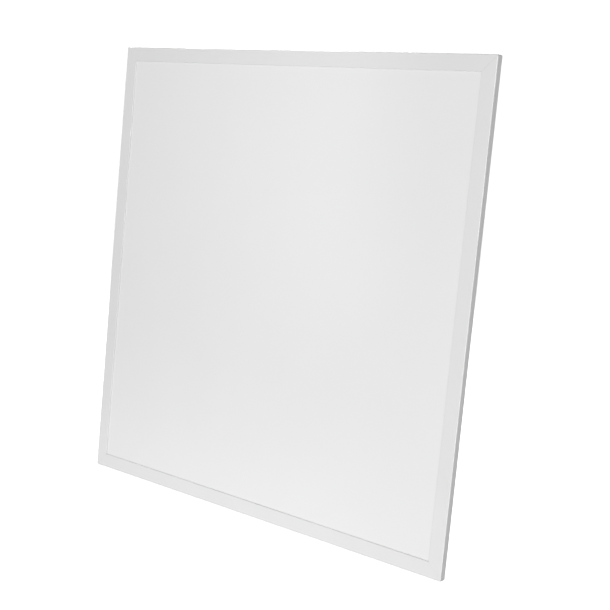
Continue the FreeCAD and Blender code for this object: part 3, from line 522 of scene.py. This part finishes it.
def transistor_boxes():
    """Corners of the two power transistors, each at the left of its heat spreader."""
    body = Vector((4.5, 12.0, 10.0)) * MM
    stand = 2.0 * MM
    foot_end = 5.5 * MM  # middle of a spreader's wall to the end of its foot
    body_end = 5.25 * MM  # middle of the wall to the transistor's far face
    low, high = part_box("driver_heatsinks")
    first = Vector((low.x, low.y + stand, (low.z + high.z - body.z) / 2))
    second = first + Vector((high.x - foot_end - low.x - body_end, 0.0, 0.0))
    return [(corner, corner + body) for corner in (first, second)]


def bare_aluminium(name, bodies=()):
    """Rolled aluminium with fine grain lines and dull smears, and black epoxy at any bodies."""
    bright = (0.82, 0.82, 0.83, 1)
    dull = (0.68, 0.68, 0.69, 1)
    seam = 0.03 * MM
    r = Recipe(name, Metallic=1.0).soft_edges(0.12 * MM)
    lines = r.noise(0.12 * MM, 3.0, (0.05, 1, 1))
    smear = r.level(r.noise(4 * MM, 3.0), 0.4, 0.7)
    colour = r.blend(smear, bright, dull)
    gloss = r.even(lines, 0.26, 0.42)
    epoxy = 0.0
    for low, high in bodies:
        body = r.band("X", (low.x + high.x) / 2, (high.x - low.x) / 2 - seam)
        epoxy = r.calc("MAXIMUM", epoxy, body)
    if bodies:
        colour = r.blend(epoxy, colour, r.blend(r.noise(0.2 * MM, 3.0), grey(0.018), grey(0.04)))
        gloss = r.calc("ADD", gloss, r.calc("MULTIPLY", epoxy, 0.2))
        r.feed(r.shader.inputs["Metallic"], r.calc("SUBTRACT", 1.0, epoxy))
    r.bump(lines, 0.006 * MM)
    return r.finish(colour, gloss)


def rubber(name):
    """Matt black rubber with a dusty bloom on it."""
    r = Recipe(name).soft_edges(0.2 * MM)
    dust = r.level(r.noise(1.8 * MM, 5.0), 0.45, 0.7)
    grain = r.noise(0.25 * MM, 3.0)
    r.bump(grain, 0.03 * MM)
    return r.finish(r.blend(dust, grey(0.022), grey(0.055)), r.even(grain, 0.62, 0.8))


def moulded(name, dark, light, rough):
    """Moulded plastic: spark-eroded grain, flow clouds and slightly polished edges."""
    r = Recipe(name, IOR=1.5).soft_edges(0.2 * MM)
    flow = r.even(r.noise(14 * MM, 2.0, (1, 1, 0.3), 0.5))
    polish = r.calc("MULTIPLY", r.worn(0.3 * MM), 0.12)
    grain = r.noise(0.22 * MM, 3.0)
    r.bump(grain, 0.016 * MM)
    gloss = r.even(grain, rough, rough + 0.12)
    return r.finish(r.blend(flow, dark, light), r.calc("SUBTRACT", gloss, polish))


def transformer(name):
    """Dark sintered core, with amber tape over the coil where it stands out at both ends."""
    tape_depth = 2.45 * MM  # coil beyond the core's faces
    amber = ((0.62, 0.36, 0.03, 1), (0.78, 0.50, 0.07, 1))
    low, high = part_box("driver_transformer")
    r = Recipe(name).soft_edges(0.2 * MM)
    core = r.band("Z", (low.z + high.z) / 2, (high.z - low.z) / 2 - tape_depth)
    grain = r.noise(0.2 * MM, 4.0)
    taped = r.blend(r.noise(2 * MM, 2.0), *amber)
    r.bump(grain, 0.03 * MM)
    colour = r.blend(core, taped, r.blend(grain, grey(0.025), grey(0.06)))
    return r.finish(colour, r.pick(core, 0.28, 0.7))


def capacitor(name):
    """Dark blue shrink sleeve with a pale stripe, open over the aluminium end."""
    lip = 0.15 * MM
    sleeve = ((0.012, 0.02, 0.06, 1), (0.02, 0.035, 0.09, 1))
    stripe = (0.55, 0.57, 0.60, 1)
    aluminium = (0.75, 0.75, 0.76, 1)
    low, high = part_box("driver_capacitors")
    r = Recipe(name).soft_edges(0.25 * MM)
    top = r.level(r.along("Y"), high.y - lip, high.y - lip / 2)
    end = r.level(r.along("X"), low.x + lip / 2, low.x + lip, 1.0, 0.0)
    bare = r.calc("MAXIMUM", top, end)
    ripple = r.noise(0.8 * MM, 2.0)
    colour = r.blend(ripple, *sleeve)
    colour = r.blend(r.level(r.facing("Z"), 0.90, 0.92), colour, stripe)
    colour = r.blend(bare, colour, aluminium)
    r.feed(r.shader.inputs["Metallic"], bare)
    r.bump(ripple, 0.02 * MM)
    return r.finish(colour, r.even(ripple, 0.2, 0.34))


def copper(name, foot_height=0.0):
    """Enamelled copper, and the black foot that the choke stands on if it has a height."""
    enamel = ((0.50, 0.13, 0.035, 1), (0.66, 0.24, 0.08, 1))
    enamel_metal = 0.9
    r = Recipe(name, Metallic=enamel_metal).soft_edges(0.1 * MM)
    tint = r.noise(1.5 * MM, 3.0)
    colour = r.blend(tint, *enamel)
    if foot_height:
        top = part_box("driver_inductor")[0].y + foot_height
        foot = r.level(r.along("Y"), top, top + 0.05 * MM, 1.0, 0.0)
        colour = r.blend(foot, colour, grey(0.03))
        r.feed(r.shader.inputs["Metallic"], r.pick(foot, enamel_metal, 0.0))
    r.bump(r.noise(0.15 * MM, 2.0), 0.008 * MM)
    return r.finish(colour, r.even(tint, 0.22, 0.36))


def label(name):
    """Blank satin label: a printed border with an empty ruled table in it."""
    inset = 1.8 * MM
    line = 0.22 * MM
    rows = 6
    heading_rows = 2  # left open above the table
    column_share = 0.62  # of the label's width, to the left of the column line
    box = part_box("rating_label")
    low, high = box
    row = (high.z - low.z - 2 * inset) / rows
    table_top = high.z - inset - heading_rows * row
    r = Recipe(name, Metallic=0.2)
    below_heading = r.level(r.along("Z"), table_top, table_top + line, 1.0, 0.0)
    column = r.band("X", low.x + (high.x - low.x) * column_share, line / 2)
    rules = r.calc("MULTIPLY", column, below_heading)
    for number in range(1, rows - heading_rows + 1):
        rules = r.calc("MAXIMUM", rules, r.band("Z", low.z + inset + number * row, line / 2))
    rules = r.calc("MULTIPLY", rules, r.within(box, -inset))
    printed = r.calc("MAXIMUM", rules, r.outline(box, -inset, line))
    brushed = r.noise(0.2 * MM, 3.0, (0.03, 1, 1))
    colour = r.blend(brushed, grey(0.52), grey(0.60))
    colour = r.blend(printed, colour, grey(0.06))
    r.bump(r.noise(5 * MM, 2.0), 0.01 * MM)
    return r.finish(colour, r.even(brushed, 0.46, 0.58))


def make_finishes():
    """A finish for each of the record's slots, and one for each node that shows two materials."""
    green_mask = (0.010, 0.125, 0.042, 1)
    green_copper = (0.015, 0.18, 0.058, 1)
    outlined = ("mains_terminal", "output_terminal", "colour_switch_body")
    recipes = {
        "white_coated_aluminium": (powder_coat, 0.80, 0.38),
        "opal_plastic": (opal,),
        "clear_acrylic": (dotted_acrylic,),
        "white_film": (film,),
        "foam": (foam,),
        "adhesive_tape": (tape,),
        "board_white": (circuit_board, grey(0.78), grey(0.88)),
        "led_package": (led_package,),
        "wire_red": (wire_skin, (0.42, 0.012, 0.010, 1), (0.55, 0.025, 0.018, 1)),
        "wire_black": (wire_skin, grey(0.018), grey(0.035)),
        "white_coated_steel": (coated_steel, 0.78),
        "zinc_steel": (plated_steel,),
        "spring_wire": (drawn_wire,),
        "rubber_black": (rubber,),
        "white_plastic": (moulded, (0.74, 0.74, 0.72, 1), (0.80, 0.80, 0.785, 1), 0.38),
        "board_green": (circuit_board, green_mask, green_copper, outlined),
        "ferrite": (transformer,),
        "capacitor_sleeve": (capacitor,),
        "copper_winding": (copper,),
        "driver_inductor": (copper, 1.0 * MM),
        "plain_aluminium": (bare_aluminium,),
        "driver_heatsinks": (bare_aluminium, transistor_boxes()),
        "terminal_grey": (moulded, grey(0.36), (0.43, 0.43, 0.44, 1), 0.42),
        "button_orange": (moulded, (0.72, 0.17, 0.012, 1), (0.82, 0.24, 0.02, 1), 0.36),
        "switch_black": (moulded, grey(0.02), grey(0.035), 0.36),
        "label_silver": (label,),
    }
    return {name: recipe(name, *values) for name, (recipe, *values) in recipes.items()}


def dress_frame(finishes):
    """Gives each CAD node its own finish, or else its slot's, which its material is named after."""
    for name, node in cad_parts.items():
        slot = node.data.materials[0].name
        node.data.materials.clear()
        node.data.materials.append(finishes.get(name, finishes[slot]))


# ---------------------------------------------------------------- pieces added to the frame
def wire_mesh(points, radius):
    """Round wire along a smooth line."""
    curve = bpy.data.curves.new("line", "CURVE")
    curve.dimensions = "3D"
    curve.bevel_depth = radius
    curve.bevel_resolution = 2
    curve.resolution_u = 3
    curve.use_fill_caps = True
    spline = curve.splines.new("NURBS")
    spline.points.add(len(points) - 1)
    for spot, point in zip(spline.points, points):
        spot.co = (*point, 1.0)
    spline.order_u = 3
    spline.use_endpoint_u = True
    holder = bpy.data.objects.new("line", curve)
    mesh = bpy.data.meshes.new_from_object(holder)
    mesh.polygons.foreach_set("use_smooth", [True] * len(mesh.polygons))
    bpy.data.objects.remove(holder)
    bpy.data.curves.remove(curve)
    return mesh


def extrude(shape, outline, half_width, place):
    """Adds a bar to a bmesh: an outline in X and Y, extruded along Z both ways, then put in place."""
    ends = []
    for z in (-half_width, half_width):
        ends.append([shape.verts.new(place @ Vector((x, y, z))) for x, y in outline])
    near, far = ends
    faces = [shape.faces.new(reversed(near)), shape.faces.new(far)]
    for index, corner in enumerate(near):
        after = (index + 1) % len(near)
        faces.append(shape.faces.new((corner, near[after], far[after], far[index])))
    bmesh.ops.recalc_face_normals(shape, faces=faces)


def finished(shape, name):
    """A mesh with a bmesh's shape. The bmesh is used up."""
    mesh = bpy.data.meshes.new(name)
    shape.to_mesh(mesh)
    shape.free()
    return mesh


def choke_winding():
    """Enamelled wire wound round the choke's ring, both ends led down to its base."""
    ring = 6.0 * MM  # axis to the middle of the ring's section
    section = 3.0 * MM
    wire = 0.36 * MM
    turns = 17
    steps = 16  # points in a turn
    bare = 48.0  # degrees each side of the base that carry no wire
    lead_rise = 1.2 * MM  # lead's end above the underside of the base
    low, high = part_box("driver_inductor")
    x = (low.x + high.x) / 2
    y = high.y - ring - section
    z = (low.z + high.z) / 2
    hug = section + wire
    points = []
    for step in range(turns * steps + 1):
        share = step / (turns * steps)
        around = math.radians(bare + (360.0 - 2 * bare) * share)
        turn = 2 * math.pi * turns * share
        reach = ring + hug * math.cos(turn)
        across = x + hug * math.sin(turn)
        points.append((across, y - reach * math.cos(around), z + reach * math.sin(around)))
    lead_ends = [(x_end, low.y + lead_rise, z_end) for x_end, _, z_end in (points[0], points[-1])]
    return wire_mesh([lead_ends[0], *points, lead_ends[1]], wire)


def chip_spots():
    """X and Z of the small parts on the board's open ends, in rows between the larger parts."""
    margin = 1.2 * MM
    board_low, board_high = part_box("driver_pcb")
    cover_low, cover_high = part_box("driver_case_cover")
    mains_low, mains_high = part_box("mains_terminal")
    switch_low, switch_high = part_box("colour_switch_body")
    out_low, out_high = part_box("output_terminal")
    left = (board_low.x, cover_low.x)
    right = (cover_high.x, board_high.x)
    # from and to in X, from and to in Z, columns, rows
    areas = (
        (*left, board_low.z, mains_low.z, 2, 1),
        (*left, mains_high.z, switch_low.z, 2, 2),
        (*left, switch_high.z, board_high.z, 3, 3),
        (*right, board_low.z, out_low.z, 3, 4),
        (*right, out_high.z, board_high.z, 3, 5),
    )
    for x_from, x_to, z_from, z_to, columns, rows in areas:
        for column in range(columns):
            for row in range(rows):
                x = x_from + margin + (x_to - x_from - 2 * margin) * (column + 0.5) / columns
                z = z_from + margin + (z_to - z_from - 2 * margin) * (row + 0.5) / rows
                yield x, z


def board_chips():
    """Small surface-mounted parts: their dark bodies, and their tinned ends with the solder at them."""
    seed = 11
    used = 0.72  # share of the spots that carry a part
    half_lengths = (0.8, 1.0, 1.0)  # mm
    slimness = 0.62  # width as a share of length
    crooked = 2.0  # degrees, at most
    height = 0.55 * MM
    cap = 0.35 * MM
    solder = 0.5 * MM
    toe = 0.12 * MM  # where the solder's slope ends, out from the part
    proud = 1.04  # height of the tinned ends as a share of the body's
    chance = random.Random(seed)
    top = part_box("driver_pcb")[1].y
    bodies = bmesh.new()
    tinned = bmesh.new()
    for x, z in chip_spots():
        present = chance.random() < used
        half = chance.choice(half_lengths) * MM
        half_width = half * slimness
        turn = chance.choice((0.0, 90.0)) + chance.uniform(-crooked, crooked)
        if not present:
            continue
        place = Matrix.Translation((x, top, z)) @ Matrix.Rotation(math.radians(turn), 4, "Y")
        inner = half - cap
        body = ((-inner, 0), (inner, 0), (inner, height), (-inner, height))
        extrude(bodies, body, half_width, place)
        tip = height * proud
        end = ((inner, 0), (half + solder, 0), (half + toe, height * 0.7), (half, tip), (inner, tip))
        for side in (-1, 1):
            extrude(tinned, [(side * along, up) for along, up in end], half_width * 1.02, place)
    return finished(bodies, "bodies"), finished(tinned, "tinned")


def transistor_legs():
    """Three flat legs from each power transistor down to the board, each with a wide upper half."""
    legs = 3
    pitch = 2.54 * MM
    half_thick = 0.25 * MM
    narrow = 0.35 * MM
    wide = 0.63 * MM
    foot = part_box("driver_pcb")[1].y
    edge_on = Matrix.Rotation(math.radians(90.0), 4, "Y")
    shape = bmesh.new()
    for low, high in transistor_boxes():
        top = low.y - foot
        step = top / 2
        one_side = [(narrow, 0.0), (narrow, step), (wide, step), (wide, top)]
        outline = one_side + [(-along, up) for along, up in reversed(one_side)]
        for leg in range(legs):
            z = (low.z + high.z) / 2 + (leg - (legs - 1) / 2) * pitch
            place = Matrix.Translation(((low.x + high.x) / 2, foot, z)) @ edge_on
            extrude(shape, outline, half_thick, place)
    return finished(shape, "legs")


def contact_leaves():
    """Bent spring leaf that shows inside each wire entry of the mains terminal."""
    poles = 3
    half_width = 1.1 * MM
    thick = 0.25 * MM
    line = ((0.9, 4.3), (1.6, 4.3), (4.4, 2.7), (5.6, 2.5))  # mm in from the edge, and up
    low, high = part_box("mains_terminal")
    pitch = (high.z - low.z) / poles
    upper = [(along * MM, up * MM) for along, up in line]
    lower = [(along, up - thick) for along, up in reversed(upper)]
    shape = bmesh.new()
    for pole in range(poles):
        place = Matrix.Translation((low.x, low.y, low.z + pitch * (pole + 0.5)))
        extrude(shape, upper + lower, half_width, place)
    return finished(shape, "leaves")


def add_pieces(finishes):
    """The new pieces, each fixed to the panel, with the finish of one of the record's slots."""
    bodies, tinned = board_chips()
    pieces = (
        ("choke_winding", choke_winding(), "copper_winding"),
        ("board_chips", bodies, "switch_black"),
        ("board_solder", tinned, "plain_aluminium"),
        ("transistor_legs", transistor_legs(), "plain_aluminium"),
        ("contact_leaves", contact_leaves(), "spring_wire"),
    )
    for name, mesh, slot in pieces:
        mesh.name = name
        mesh.materials.append(finishes[slot])
        piece = bpy.data.objects.new(name, mesh)
        bpy.context.scene.collection.objects.link(piece)
        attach(piece, "panel")


# ---------------------------------------------------------------- everything
add_camera()
add_softboxes()
add_sky()
add_floor()
finishes = make_finishes()
dress_frame(finishes)
add_pieces(finishes)

bpy.context.view_layer.update()
